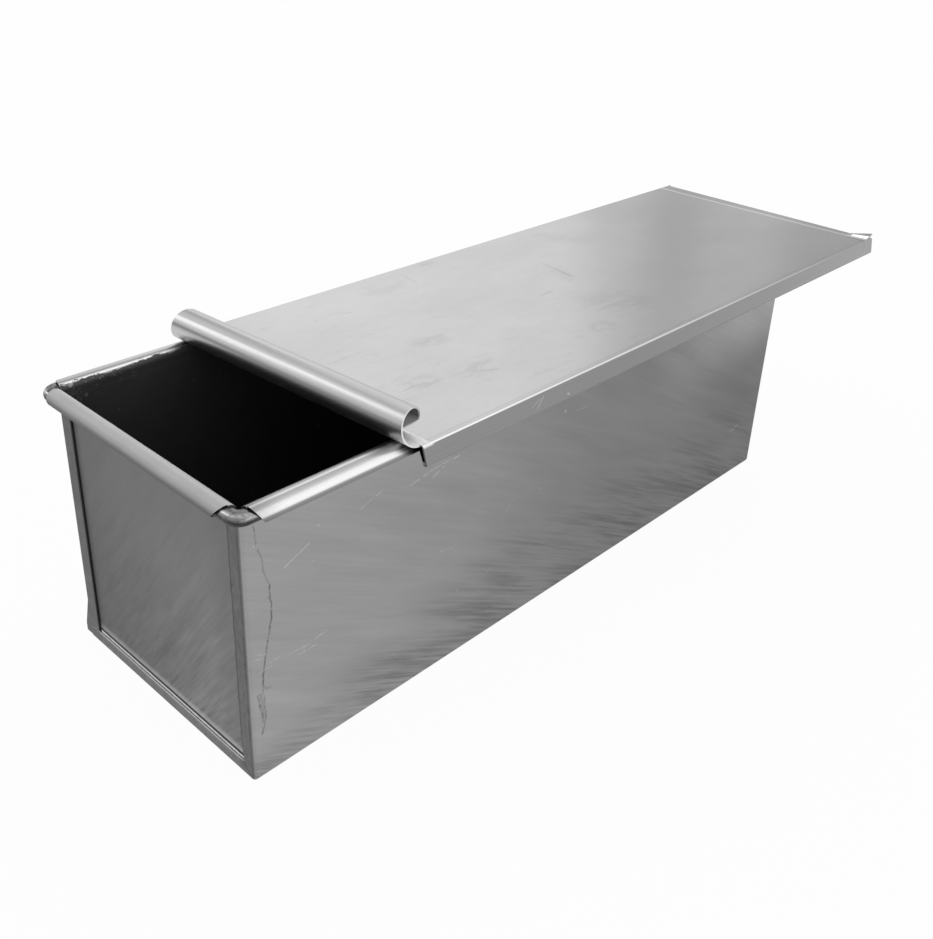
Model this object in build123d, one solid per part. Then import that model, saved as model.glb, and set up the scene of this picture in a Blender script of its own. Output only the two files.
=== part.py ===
from build123d import *
import math
import os

os.makedirs("parts", exist_ok=True)

# All lengths are millimetres.
# X runs along the pan, Y across it and Z up, from the centre of the pan's underside.

# Pan body
sheet = 0.6
pan_length = 300.0
pan_width = 100.0
pan_height = 103.6
fold_radius = 1.4

# Rim wire and the beads rolled over it
wire_diameter = 4.9
wire_clearance = 0.05
wire_corner_radius = 3.0
side_bead_tail = 2.3
side_bead_cutback = 4.4
end_bead_cutback = 6.7
end_bead_gap = 1.0
end_bead_wrap = 305.0

# Strips folded over the end plates
left_strip_width = 6.6
right_strip_width = 5.2
bottom_strip_height = 5.5
bottom_strip_ear = 2.4
bottom_strip_ear_height = 4.6
bottom_strip_ear_rise = 18.0
strip_top_gap = 3.3
seam_slit = 0.3
seam_clearance = 0.05
plate_flange = 5.0

# Lid, as it sits when partly pulled out
lid_clearance = 0.3
guide_clearance = 0.3
return_clearance = 1.5
lid_width = 118.6
lid_reach = 308.1
lid_overhang = 63.6
lid_fold_radius = 0.9
return_fold_radius = 0.9
near_return = 10.6
far_return = 5.6
return_cutback = 6.9
flange_overrun = 2.0
flange_far_slant = 2.6
flange_near_gap = 0.4
flange_near_slant = 2.1
tongue_inset = 1.1
lip_width = 6.5
lip_rise = 0.2
lip_flare_width = 10.5
lip_flare_rise = 2.2
lip_flare_reach = 1.6
lip_flare_inset = 0.2

# Rolled grip at the lid's near end
curl_radius = 6.0
curl_skew = 3.3
curl_turn = 321.0
curl_clip_start = 277.0
curl_side_taper = 5.6
curl_corner_clip = 4.6
curl_cut_sectors = 9

# Shares and cutter size
cutter_share = 2.0
cut = cutter_share * curl_radius

# Derived pan places
half_length = pan_length / 2
half_width = pan_width / 2
bead_inner = wire_diameter / 2 + wire_clearance
bead_outer = bead_inner + sheet
wire_z = pan_height - bead_outer
strip_top = wire_z - strip_top_gap
side_wire_y = half_width + bead_inner
plate_x = half_length - sheet - seam_clearance
end_wire_x = plate_x + bead_inner
wall_end = half_length - fold_radius
side_bead_y = side_wire_y + bead_outer
tail_z = wire_z - side_bead_tail

# Derived lid places
lid_under = pan_height + lid_clearance
lid_top = lid_under + sheet
return_top = tail_z - return_clearance
return_under = return_top - sheet
lid_far_y = side_bead_y + guide_clearance + sheet
lid_near_y = lid_far_y - lid_width
lid_middle_y = (lid_near_y + lid_far_y) / 2
lid_far_x = half_length + lid_overhang
curl_x = lid_far_x - lid_reach
curl_z = lid_under + curl_radius
lip_x = lid_far_x - lip_width
tongue_half = lid_width / 2 - tongue_inset
channel_start = curl_x - cut
channel_end = lid_far_x + cut
flange_end = lid_far_x + flange_overrun


def block(x0, x1, y0, y1, z0, z1):
    """Box between two corners."""
    middle = Location(((x0 + x1) / 2, (y0 + y1) / 2, (z0 + z1) / 2))
    return middle * Box(x1 - x0, y1 - y0, z1 - z0)


def prism_along_x(points, x0, x1):
    """Prism with a polygon of (y, z) points, between two x places."""
    face = make_face(Polyline([(x0, y, z) for y, z in points], close=True))
    return extrude(face, amount=x1 - x0, dir=(1, 0, 0))


def prism_along_y(points, y0, y1):
    """Prism with a polygon of (x, z) points, between two y places."""
    face = make_face(Polyline([(x, y0, z) for x, z in points], close=True))
    return extrude(face, amount=y1 - y0, dir=(0, 1, 0))


def prism_along_z(points, z0, z1):
    """Prism with a polygon of (x, y) points, between two heights."""
    face = make_face(Polyline([(x, y, z0) for x, y in points], close=True))
    return extrude(face, amount=z1 - z0, dir=(0, 0, 1))


def turned(shape):
    """The same shape at the other end of the pan."""
    return Rot(0, 0, 180) * shape


def ring_sector(start, end):
    """Rolled sheet section around the wire, between two angles."""
    ring = Circle(bead_outer) - Circle(bead_inner)
    reach = bead_outer * cutter_share
    gap_end = start + 360
    middle = (end + gap_end) / 2
    angles = [end, (end + middle) / 2, middle, (middle + gap_end) / 2, gap_end]
    rays = [(reach * math.cos(math.radians(a)), reach * math.sin(math.radians(a))) for a in angles]
    return ring - make_face(Polyline([(0, 0)] + rays, close=True))


def tub(half_x, half_y, bottom, top, edge_radius):
    """Block with its upright and bottom edges rounded, as folded sheet has them."""
    solid = block(-half_x, half_x, -half_y, half_y, bottom, top)
    upright = solid.edges().filter_by(Axis.Z)
    lowest = solid.faces().sort_by(Axis.Z)[0].edges()
    return fillet(upright + lowest, edge_radius)


def folded_shell():
    """Bottom, long walls and end faces before the end openings are cut."""
    outer = tub(half_length, half_width, 0, wire_z, fold_radius)
    inner = tub(half_length - sheet, half_width - sheet, sheet, wire_z + sheet, fold_radius - sheet)
    return outer - inner


def end_openings():
    """What the end faces leave open inside the strips, and all above the strips."""
    right_y = right_strip_width - half_width
    left_y = half_width - left_strip_width
    window = block(-half_length, -wall_end, right_y, left_y, bottom_strip_height, wire_z)
    above = block(-half_length, -wall_end, -half_width, half_width, strip_top, wire_z)
    return window + turned(window) + above + turned(above)


def strip_seams():
    """Slits where the strips meet at the near end's lower corners."""
    inner_y = half_width - right_strip_width
    left_y = half_width - left_strip_width
    bend_y = half_width - fold_radius - seam_slit
    bend_z = fold_radius + seam_slit
    skin = half_length - sheet
    slant = math.atan2(bottom_strip_height - bend_z, bend_y - inner_y)
    side = seam_slit * math.sin(slant) / 2
    rise = seam_slit * math.cos(slant) / 2
    mitre = prism_along_x(
        [
            (seam_slit - inner_y - side, bottom_strip_height + seam_slit + rise),
            (seam_slit - inner_y + side, bottom_strip_height + seam_slit - rise),
            (-bend_y + side, bend_z - rise),
            (-bend_y - side, bend_z + rise),
        ],
        -half_length,
        -skin,
    )
    butt_top = bottom_strip_height + seam_slit
    butt = block(-half_length, -skin, left_y - seam_slit, bend_y, bottom_strip_height, butt_top)
    return mitre + butt


def strip_ear():
    """Flattened corner of the near bottom strip, standing out past the left wall's fold."""
    left_y = half_width - left_strip_width
    fold_y = half_width - fold_radius
    ear_y = half_width + bottom_strip_ear
    outline = [
        (left_y, fold_radius),
        (ear_y, fold_radius),
        (ear_y, bottom_strip_ear_height),
        (fold_y, bottom_strip_ear_rise),
        (fold_y, bottom_strip_ear_height),
        (left_y, bottom_strip_ear_height),
    ]
    return prism_along_x(outline, -half_length, sheet - half_length)


def side_bead():
    """Bead along the far long wall: over the wire and down to a straight tail."""
    section = Plane.YZ * ring_sector(0, 180)
    roll = Pos(0, side_wire_y, wire_z) * extrude(section, amount=wall_end, both=True)
    tail = block(-wall_end, wall_end, side_bead_y - sheet, side_bead_y, tail_z, wire_z)
    return roll + tail - bead_end_notches()


def bead_end_notches():
    """Slanting cuts at both ends of a side bead's outer half."""
    tip = wall_end - side_bead_cutback
    high = pan_height + sheet
    low = tail_z - sheet
    slant = [(-half_length, high), (-wall_end, high), (-tip, low), (-half_length, low)]
    notch = prism_along_y(slant, side_wire_y, side_bead_y + sheet)
    return notch + mirror(notch, about=Plane.YZ)


def pan_trough():
    """One folded sheet: bottom, long walls, end strips and side beads."""
    seams = strip_seams()
    ear = strip_ear()
    body = folded_shell() - end_openings() - seams - turned(seams)
    bead = side_bead()
    return body + ear + bead + turned(bead)


def plate_tray():
    """Near end panel with the flanges that lie inside the bottom and long walls."""
    inset = sheet + seam_clearance
    bend = fold_radius - inset
    half_y = half_width - inset
    outer = tub(plate_x, half_y, inset, strip_top, bend)
    inner = tub(plate_x - sheet, half_y - sheet, inset + sheet, strip_top, bend - sheet)
    kept = block(-plate_x, plate_flange - plate_x, -half_y, half_y, inset, strip_top)
    return (outer - inner) & kept


def end_bead():
    """Bead rolled right round the wire at the near end, cut back at its near corner."""
    width = half_width - fold_radius
    section = Plane(origin=(-end_wire_x, -width, wire_z), x_dir=(1, 0, 0), z_dir=(0, -1, 0))
    roll = extrude(section * ring_sector(0, end_bead_wrap), amount=end_bead_gap - width * 2)
    high = pan_height + sheet
    low = wire_z - bead_outer - sheet
    slant = [(-half_width, high), (-width, high), (end_bead_cutback - width, low), (-half_width, low)]
    outside = prism_along_x(slant, -end_wire_x - bead_outer - sheet, -end_wire_x)
    beside = prism_along_x(slant, -end_wire_x, -plate_x)
    below = block(-end_wire_x, -plate_x, -half_width, half_width, low, wire_z)
    return roll - outside - (beside & below)


def near_end_plate():
    """Flat panel, its flanges and the bead along its top."""
    width = half_width - fold_radius
    panel = block(-plate_x, sheet - plate_x, -width, width, strip_top, wire_z)
    return plate_tray() + panel + end_bead()


def rim_wire():
    """Closed round wire that stiffens the rim."""
    path = Pos(0, 0, wire_z) * RectangleRounded(
        2 * end_wire_x, 2 * side_wire_y, wire_corner_radius
    )
    section = Plane(origin=(0, -side_wire_y, wire_z), x_dir=(0, 1, 0), z_dir=(1, 0, 0))
    return sweep(section * Circle(wire_diameter / 2), path=path.wire())


def lid_block(inset):
    """Block with the lid channel's rounded outline, inset by a thickness."""
    solid = block(
        channel_start,
        channel_end,
        lid_near_y + inset,
        lid_far_y - inset,
        return_under + inset,
        lid_top - inset,
    )
    lengthwise = solid.edges().filter_by(Axis.X).sort_by(Axis.Z)
    solid = fillet(lengthwise[-2:], lid_fold_radius - inset)
    lower = solid.edges().filter_by(Axis.X).sort_by(Axis.Z)[:2]
    return fillet(lower, return_fold_radius - inset)


def lid_channel():
    """Top, side flanges and the returns under the beads."""
    slot = block(
        channel_start,
        channel_end,
        lid_near_y + near_return,
        lid_far_y - far_return,
        return_under,
        return_top,
    )
    lip_room = block(
        lip_x,
        channel_end,
        lid_middle_y - tongue_half,
        lid_middle_y + tongue_half,
        return_top,
        lid_top,
    )
    ends = lid_near_end_cut() + lid_far_end_cut() + return_end_cut()
    return lid_block(0) - lid_block(sheet) - slot - lip_room - ends


def lid_near_end_cut():
    """Trims the flanges' near ends: skewed like the grip, and slanting forward below."""
    height = lid_top - return_under
    slope = flange_near_slant / height
    low_x = flange_near_gap + flange_near_slant + slope * sheet
    high_x = flange_near_gap - slope * sheet
    low_z = return_under - sheet
    high_z = lid_top + sheet
    back_x = -cut * cutter_share
    outline = [(back_x, low_z), (low_x, low_z), (high_x, high_z), (back_x, high_z)]
    wedge = prism_along_y(outline, -lid_width, lid_width)
    return Pos(curl_x, 0, 0) * Rot(0, 0, curl_skew) * wedge


def lid_far_end_cut():
    """Trims the flanges' far ends, slanting outward below."""
    height = lid_top - return_under
    slope = flange_far_slant / height
    low_x = flange_end + flange_far_slant + slope * sheet
    high_x = flange_end - slope * sheet
    low_z = return_under - sheet
    high_z = lid_top + sheet
    beyond = channel_end + cut
    outline = [(low_x, low_z), (beyond, low_z), (beyond, high_z), (high_x, high_z)]
    return prism_along_y(outline, lid_near_y - sheet, lid_far_y + sheet)


def return_end_cut():
    """Trims the near return's end on a slant."""
    fold_y = lid_near_y + return_fold_radius
    open_y = lid_near_y + near_return + sheet
    skew = math.tan(math.radians(curl_skew))
    fold_x = curl_x + flange_near_gap + flange_near_slant - sheet - skew * fold_y
    open_x = fold_x + sheet + return_cutback
    outline = [(channel_start, fold_y), (fold_x, fold_y), (open_x, open_y), (channel_start, open_y)]
    return prism_along_z(outline, return_under - sheet, return_top + sheet)


def lip_section(y, rise, reach):
    """Section of the far lip at a place across the lid, its edge raised and moved out."""
    edge_x = lid_far_x + reach
    corners = [
        (lip_x, y, lid_under),
        (edge_x, y, lid_under + rise),
        (edge_x, y, lid_top + rise),
        (lip_x, y, lid_top),
    ]
    return make_face(Polyline(corners, close=True))


def lid_lip():
    """Far edge of the lid, turned up a little and flared at its near corner."""
    near_y = lid_near_y + lip_flare_inset
    flare_y = near_y + lip_flare_width
    start = lip_section(flare_y, lip_rise, 0)
    straight = loft([lip_section(lid_middle_y + tongue_half, lip_rise, 0), start], ruled=True)
    corner = lip_section(near_y, lip_flare_rise, lip_flare_reach)
    return straight + loft([start, corner], ruled=True)


def curl_plane():
    """Plane square to the grip's axis, with angles counted from below towards the front."""
    skew = math.radians(curl_skew)
    middle_x = curl_x - math.tan(skew) * lid_middle_y
    along = (-math.sin(skew), math.cos(skew), 0)
    return Plane(origin=(middle_x, lid_middle_y, curl_z), x_dir=(0, 0, -1), z_dir=along)


def curl_half_width(angle):
    """Half width of the rolled sheet at an angle of its roll."""
    narrowing = curl_side_taper * min(angle, curl_clip_start) / curl_clip_start
    past = max(0, angle - curl_clip_start) / (curl_turn - curl_clip_start)
    return tongue_half - narrowing - curl_corner_clip * past


def curl_side_cutter(sign):
    """Solid that trims one side of the roll along its slanting edge."""
    inner = curl_radius / cutter_share
    outer = curl_radius * cutter_share
    steps = [curl_clip_start * i / curl_cut_sectors for i in range(curl_cut_sectors + 1)]
    steps = steps + [(curl_clip_start + curl_turn) / 2, curl_turn, curl_turn + (360 - curl_turn) / 2]
    sections = []
    for angle in steps:
        side = sign * curl_half_width(angle)
        beyond = sign * (tongue_half + cut)
        c = math.cos(math.radians(angle))
        s = math.sin(math.radians(angle))
        profile = [(inner, side), (outer, side), (outer, beyond), (inner, beyond)]
        corners = [(r * c, r * s, z) for r, z in profile]
        sections.append(make_face(Polyline(corners, close=True)))
    return loft(sections, ruled=True)


def curl():
    """Roll of the lid's near edge."""
    ring = Circle(curl_radius) - Circle(curl_radius - sheet)
    reach = curl_radius * cutter_share
    open_angles = [curl_turn, (curl_turn + 360) / 2, 360]
    rays = [(reach * math.cos(math.radians(a)), reach * math.sin(math.radians(a))) for a in open_angles]
    section = ring - make_face(Polyline([(0, 0)] + rays, close=True))
    roll = extrude(section, amount=tongue_half, both=True)
    roll = roll - curl_side_cutter(1) - curl_side_cutter(-1)
    return curl_plane() * roll


def tongue():
    """Flat sheet between the lid's top and the roll."""
    skew = math.tan(math.radians(curl_skew))
    y0 = lid_middle_y - tongue_half
    y1 = lid_middle_y + tongue_half
    x0 = curl_x - skew * y0
    x1 = curl_x - skew * y1
    reach = cut
    return prism_along_z([(x0, y0), (x0 + reach, y0), (x1 + reach, y1), (x1, y1)], lid_under, lid_top)


def lid():
    """One folded sheet: channel, lip and rolled grip."""
    return lid_channel() + lid_lip() + tongue() + curl()


nodes = {
    "pan_trough": pan_trough(),
    "near_end_plate": near_end_plate(),
    "far_end_plate": turned(near_end_plate()),
    "rim_wire": rim_wire(),
    "lid": lid(),
}

for name, shape in nodes.items():
    solids = shape.solids()
    print(name, len(solids), shape.bounding_box())
    export_step(solids[0] if len(solids) == 1 else shape, f"parts/{name}.step")
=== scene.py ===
import math

import bpy
from mathutils import Matrix, Vector

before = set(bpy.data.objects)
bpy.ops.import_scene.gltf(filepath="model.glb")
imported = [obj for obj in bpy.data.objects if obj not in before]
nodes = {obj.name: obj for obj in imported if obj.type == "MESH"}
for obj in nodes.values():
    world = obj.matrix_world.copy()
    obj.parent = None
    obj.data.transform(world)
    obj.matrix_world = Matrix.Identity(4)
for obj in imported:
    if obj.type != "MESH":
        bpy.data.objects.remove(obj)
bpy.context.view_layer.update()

MM = 0.001
PER_METRE = 1000.0

# Camera: picture and lens in pixels, place in millimetres, turn as a rotation vector
PHOTO_WIDTH = 933
PHOTO_HEIGHT = 939
FOCAL_PX = 1090.6544
CENTRE_PX = (466.2909, 393.0208)
TURN = Vector((1.91984326, -0.79526486, 0.54293424))
SHIFT_MM = Vector((0.34713472, 61.66792441, 473.94585518))
SENSOR_MM = 36.0
NEAREST_M = 0.01
FARTHEST_M = 50.0

# Places on the pan, in millimetres
PAN_END = 150.0
WALL_Y = 50.0
LID_TOP = 104.5
FLANGE_Y = -62.1
LEFT_STRIP_Y = 43.4
RIGHT_STRIP_Y = -44.8
FOLD_OUTER = 2.0
FOLD_MIDDLE = 1.7
COAT_TOP_Y = 50.4
SEAM_LOW = 6.5
SEAM_HIGH = 7.75
CURL_FRONT = -94.3
CURL_Z = 109.9
CURL_SKEW_DEG = 3.3
CURL_SLOPE = math.tan(math.radians(CURL_SKEW_DEG))

# Rounding of the sheets' cut edges
ROUNDING_MM = 0.22
ROUNDING_SEGMENTS = 2
ROUNDING_ANGLE_DEG = 40

# Lengths are in millimetres. A span is (from, to) or (from, to, result at from, result at to).
# A band is (from, to, softness of its edges), for a place or for a part of the normal.
# A noise field is (size of its features, detail, roughness), with one size or one per axis.
# A tone is a share of the light sent back, and a list of tones is (place or normal, tone).
NOISE_SPAN = (0.3, 0.7)
NOISE_MIDDLE = 0.5
FACING_NEAR = (-0.5, -0.9)

# Grain of the metal, and the black non-stick coating
GRAIN = (0.45, 3.0, 0.75)
GRAIN_TONE = (0.25, 0.75, 0.93, 1.07)
GRAIN_ROUGH = (0.2, 0.8, -0.03, 0.03)
COAT_TONE = 0.045
COAT_ROUGH = 0.38
COAT_SOFT = (0.0, 0.15)
DUST = (25.0, 4.0, 0.6)
DUST_TONE = (0.35, 0.75, 0.0, 0.012)
SPECKS = (1.6, 0.0, 0.5)
SPECK_SPAN = (0.80, 0.86)
SPECK_TONE = 0.12
BUMP_DISTANCE_M = 0.0002
BUMP_STRENGTH = 0.6
METAL_SPECULAR = 0.5

# Long walls of the trough; the tones along them, the lift high at the far end, the darker near corner
# and the darkening low down are painted light and shade
WALL_PAINTED_LIGHT_TONES = [
    (-150.0, 0.345), (-100.0, 0.325), (-50.0, 0.282), (-20.0, 0.240),
    (20.0, 0.203), (70.0, 0.183), (135.0, 0.148),
]
WALL_SLANT_DEG = -28.0
WALL_STREAKS = ((32.0, 30.0, 1.25), 5.0, 0.64)
WALL_STREAK_TONE = (0.96, 1.04)
WALL_PATCHES = ((60.0, 60.0, 9.0), 3.0, 0.55)
WALL_PATCH_TONE = (1.04, 0.96)
WALL_CORNER_SHADE_X = (-149.9, -148.0, 0.88, 1.0)
WALL_ROUGH = (0.34, 0.42)
PAINTED_LIFT_Z = (54.0, 88.0)
PAINTED_LIFT_X = (40.0, 135.0)
PAINTED_LIFT_TONE = 0.17
LOW_SHADE_REACH = (-150.0, -45.0, 14.0, 64.0)
RUBBED_STREAK = (0.36, 0.64)
RUBBED_PATCH = (0.28, 0.64, 0.3, 1.0)
RUBBED_SHARE = 0.42
LOW_SHADE_LEAST = 0.07

# Beads along the long walls; their tones by the normal are painted highlight and shade, with painted
# shade at the foot and near the corner
SIDE_BEAD_PAINTED_LIGHT = [
    (-0.35, 0.48), (-0.12, 0.24), (0.0, 0.26), (0.1, 0.38), (0.15, 0.42), (0.25, 0.50), (0.37, 0.43),
    (0.47, 0.44), (0.58, 0.49), (0.69, 0.53), (0.79, 0.61), (0.87, 0.80), (0.93, 0.94), (0.98, 1.0),
]
SIDE_BEAD_FOOT_SHADE = [(98.6, 0.24), (99.4, 0.30), (99.75, 0.48), (100.1, 0.85), (100.4, 1.0)]
SIDE_BEAD_CORNER_SHADE_X = (-147.0, -138.0, 0.74, 1.0)
SIDE_BEAD_LINES = ((60.0, 0.35, 0.35), 3.0, 0.7)
SIDE_BEAD_LINE_TONE = (0.94, 1.05)
SIDE_BEAD_Z = (96.9, 97.5)
SIDE_BEAD_Y = (50.1, 50.3)
SIDE_BEAD_ROUGH = 0.3
FAR_BEAD_PAINTED_LIGHT = [
    (-0.88, 0.6), (-0.80, 0.95), (-0.66, 0.95), (-0.58, 0.70), (-0.48, 0.30),
    (-0.35, 0.26), (-0.2, 0.32), (-0.07, 0.42), (0.2, 0.50),
]
FAR_SIDE_Y = (-1.0, 1.0)

# Strips folded over the ends, their dark tone painted shade, with a painted highlight along the
# bottom one's top and on upward ledges
STRIP_SPOTS = ((1.6, 1.6, 3.0), 3.0, 0.7)
STRIP_SPOT_AND_SHADE_TONE = (0.105, 0.165)
STRIP_ACROSS_Y = (-42.0, 44.0, 0.76, 1.0)
STRIP_LEFT_Y = (43.0, 43.6, 1.0, 0.80)
STRIP_BLOTS = ((0.9, 0.9, 1.6), 2.0, 0.6)
STRIP_BLOT_SPAN = (0.62, 0.74)
STRIP_BLOT_SHARE = 0.5
STRIP_PAINTED_HIGHLIGHT = [(4.4, 0.0), (5.0, 0.04), (5.5, 0.14)]
STRIP_HIGHLIGHT_Y = (LEFT_STRIP_Y - 0.4, LEFT_STRIP_Y - 1.4)
STRIP_HIGHLIGHT_SPOTS = (0.2, 0.8, 0.75, 1.25)
FACING_END = (0.5, 0.98)
LEDGE_FACING_UP = (0.6, 0.9)
LEDGE_Z = (90.0, 60.0)
LEDGE_HIGHLIGHT_TONE = 0.82

# How the marks of the near wall are broken up
MARK_WOBBLE = (3.0, 3.0, 0.6)
CREASE_BREAKS = (1.7, 3.0, 0.7)
CREASE_BREAK_SPAN = (0.34, 0.56, 0.25, 1.0)
CREASE_SHADE_SHARE = 0.6
CREASE_HEIGHT = 0.6
SCRATCH_BREAKS = (0.9, 2.0, 0.6)
SCRATCH_BREAK_SPAN = (0.38, 0.56)
SCRATCH_TONE = 0.145

# Coating inside the trough, with flakes at the near left corner, and the sheet's waves
TROUGH_RAGGED = ((5.0, 1.5, 1.5), 4.0, 0.75)
TROUGH_RAGGED_MM = (-0.91, 0.91)
TROUGH_COAT_DEPTH = (FOLD_MIDDLE + 0.1, FOLD_MIDDLE - 0.1)
TROUGH_COAT_LOW_Z = (99.0, 98.0)
TROUGH_COAT_HIGH_Z = (97.9, 98.4)
FLAKES = (2.2, 4.0, 0.75)
FLAKE_SPAN = (0.59, 0.64)
FLAKE_Z = (93.0, 101.0)
FLAKE_X = (-110.0, -146.0)
FLAKE_CORNER_X = (-138.0, -147.0)
FLAKE_CORNER_Y = (38.0, 46.0)
FLAKE_CORNER_SHARE = 0.10
TROUGH_WAVE = (45.0, 1.0, 0.4)
TROUGH_WAVE_HEIGHT = 3.0
TROUGH_STREAK_HEIGHT = 0.05

# Panels of the end plates, with slanting rub marks, a dark tone of painted shade, painted shade low
# down and a painted highlight at the foot
PANEL_SLANT_DEG = 38.0
PANEL_STREAKS = ((30.0, 1.5, 15.0), 4.0, 0.6)
PANEL_PATCHES = ((30.0, 6.0, 45.0), 3.0, 0.55)
PANEL_MIX = 0.5
PANEL_MIX_TONE = (0.32, 0.68, -0.42, 0.38)
PANEL_MIX_Z = (12.0, 80.0, 1.0, 0.22)
PANEL_SHADE_TONE_Z = (0.0, 95.0, 0.184, 0.156)
PANEL_SHADE_TONE_Y = (45.0, -45.0, 0.70, 1.0)
PANEL_ROUGH = 0.36
SHADE_Y = (-42.0, 25.0)
SHADE_Z = (85.0, 15.0)
SHADE_SHARE = 0.38
LEFT_SHADE_Y = (10.0, 40.0)
LEFT_SHADE_SHARE = 0.14
RIGHT_SHADE_Y = (-30.0, -43.0)
RIGHT_SHADE_SHARE = 0.13
DASHES = ((30.0, 1.1, 9.0), 2.0, 0.5)
DASH_SPAN = (0.52, 0.66)
DASH_Z = (30.0, 9.0)
DASH_SHARE = 0.22
PANEL_FOOT_HIGHLIGHT_Z = (11.0, 8.0)
PANEL_FOOT_HIGHLIGHT = 0.19
PLATE_SPECULAR = 0.1
PLATE_WAVE = (40.0, 1.0, 0.4)
PLATE_WAVE_HEIGHT = 3.0
PLATE_STREAK_HEIGHT = 0.08

# Seams between the panels and the strips: their dark lines are painted shade, and the bright line
# over the bottom strip is a painted highlight
SEAM_NOISE = ((2.0, 2.0, 6.0), 3.0, 0.7)
SEAM_UNEVEN_MM = (-0.5, 0.5)
SEAM_SOFT = 0.12
SEAM_TOP_Z = (95.5, 94.0)
SEAM_SHADE_SHARE = 0.94
LEFT_SEAM_Y = (LEFT_STRIP_Y - 1.15, LEFT_STRIP_Y - 0.85)
LEFT_SEAM_DARK_Y = (LEFT_STRIP_Y - 5.0, LEFT_STRIP_Y - 1.0)
LEFT_SEAM_DARK_SHARE = 0.3
RIGHT_SEAM_Y = (RIGHT_STRIP_Y + 1.8, RIGHT_STRIP_Y + 1.2)
RIGHT_SEAM_UNEVEN = 0.6
RIGHT_SEAM_SHARE = 0.6
SEAM_HIGHLIGHT_Z = (SEAM_LOW + 0.1, SEAM_LOW - 0.1)
SEAM_HIGHLIGHT_Y = (LEFT_STRIP_Y - 0.6, LEFT_STRIP_Y - 1.0)
SEAM_HIGHLIGHT_TONE = (0.72, 1.0)

# Beads of the end plates, with painted light and shade by their normal, and the coating's edge on
# them
END_BEAD_PAINTED_LIGHT = [
    (-0.6, 0.10), (-0.33, 0.124), (-0.04, 0.186), (0.12, 0.236), (0.28, 0.309), (0.43, 0.364),
    (0.69, 0.369), (0.86, 0.39), (0.92, 0.405), (0.98, 0.43),
]
END_BEAD_BLOTCHES = ((3.0, 12.0, 3.0), 4.0, 0.65)
END_BEAD_BLOTCH_TONE = (0.95, 1.05)
END_BEAD_OUTWARD_LIGHT = (0.25, 0.45, 1.0, 1.25)
END_BEAD_Z = (97.2, 97.6)
END_BEAD_X = (149.4, 149.5)
END_BEAD_ROUGH = 0.58
PLATE_RAGGED = ((1.5, 5.0, 1.5), 4.0, 0.75)
PLATE_RAGGED_MM = (-0.35, 0.35)
PLATE_INNER_X = 149.05
PLATE_INNER_SOFT = (-0.1, 0.1)
PLATE_COAT_OVER = 0.55
PLATE_COAT_Z = (100.6, 101.0)

# Rim wire, lit and shaded by painted tones along its normal; its painted glints are (span of the
# sideways normal, band of the upward normal, tone)
WIRE_PAINTED_LIGHT = [
    (-0.6, 0.045), (-0.07, 0.05), (0.07, 0.075), (0.22, 0.11), (0.36, 0.18), (0.5, 0.25),
    (0.62, 0.34), (0.70, 0.40), (0.78, 0.32), (0.86, 0.23), (0.93, 0.17), (1.0, 0.14),
]
WIRE_PAINTED_GLINTS = [
    ((0.72, 0.9), (0.0, 0.52, 0.08), 0.13),
    ((0.90, 0.95), (0.2, 0.42, 0.06), 0.22),
    ((0.35, 0.05), (0.64, 0.74, 0.04), 0.20),
]
WIRE_STAINS = ((1.8, 1.8, 0.8), 4.0, 0.75)
WIRE_STAIN_TONE = (0.35, 0.65, 0.64, 1.32)
WIRE_ROUGH = (0.5, 0.28)
WIRE_BLOTCHES = ((2.6, 2.6, 1.6), 3.0, 0.6)
WIRE_BLOTCH_TONE = (0.42, 0.58, 0.42, 1.15)
WIRE_BLOTCH_Y = (-5.0, 5.0)
WIRE_END_Y = [(98.0, 43.4), (100.0, 46.2), (101.5, 46.9), (103.0, 46.9)]
WIRE_END_GAP = (0.6, 0.15)
WIRE_END_X = (150.0, 150.4)
WIRE_SIDE_X = [(98.0, 145.0), (99.7, 145.4), (101.0, 146.4), (102.7, 148.4)]
WIRE_SIDE_GAP = (0.65, 0.2)
WIRE_SIDE_Y = (50.0, 50.4)
WIRE_SHADE_SHARE = 0.88
WIRE_PITS = (0.7, 3.0, 0.7)
WIRE_PIT_HEIGHT = 0.15
WIRE_STAIN_HEIGHT = 0.2

# Lid's flat top, its tone along the length painted light that is lighter at the near end
LID_PAINTED_LIGHT_X = (-60.0, 170.0, 0.315, 0.21)
LID_CLOUDS = ((40.0, 26.0, 20.0), 4.0, 0.6)
LID_CLOUD_TONE = (0.965, 1.035)
LID_ROUGH = (0.24, 0.20)
LID_FINE = ((9.0, 4.5, 4.5), 6.0, 0.72)
LID_WISPS = ((24.0, 2.4, 4.5), 5.0, 0.7)
LID_WISP_TURN_DEG = 4.0
WISP_SPAN = (0.55, 0.68)
WISP_CLOUD_SPAN = (0.55, 0.42)
WISP_X = (120.0, 40.0)
WISP_SHARE = 0.07
WORN_X = (90.0, 20.0)
WORN_SPAN = (0.56, 0.66)
WORN_SHARE = 0.05
MARKS_FACING_UP = (0.5, 0.9)
SMEAR_MIX = 0.45
SMEAR_SHARE = (0.44, 0.54, 0.03, 0.24)
WRINKLE_SHADE_SHARE = 0.22
LID_WAVE = (70.0, 1.0, 0.4)
LID_WAVE_HEIGHT = 2.0
LID_FINE_HEIGHT = 0.04

# Lid's far lip, with painted highlights on its crease and turned-up corner
LIP_CREASE_X = (35.0, -52.0, 206.9, 209.1)
LIP_CREASE_BAND = (-0.8, 0.9, 0.5)
LIP_CREASE_HIGHLIGHT = 0.17
LIP_CREASE_HEIGHT = 0.3
LIP_FLARE_BAND = (209.6, 212.2, 0.3)
LIP_FLARE_Y = (FLANGE_Y + 8.8, FLANGE_Y + 8.0)
LIP_FLARE_HIGHLIGHT = 0.95

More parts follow.
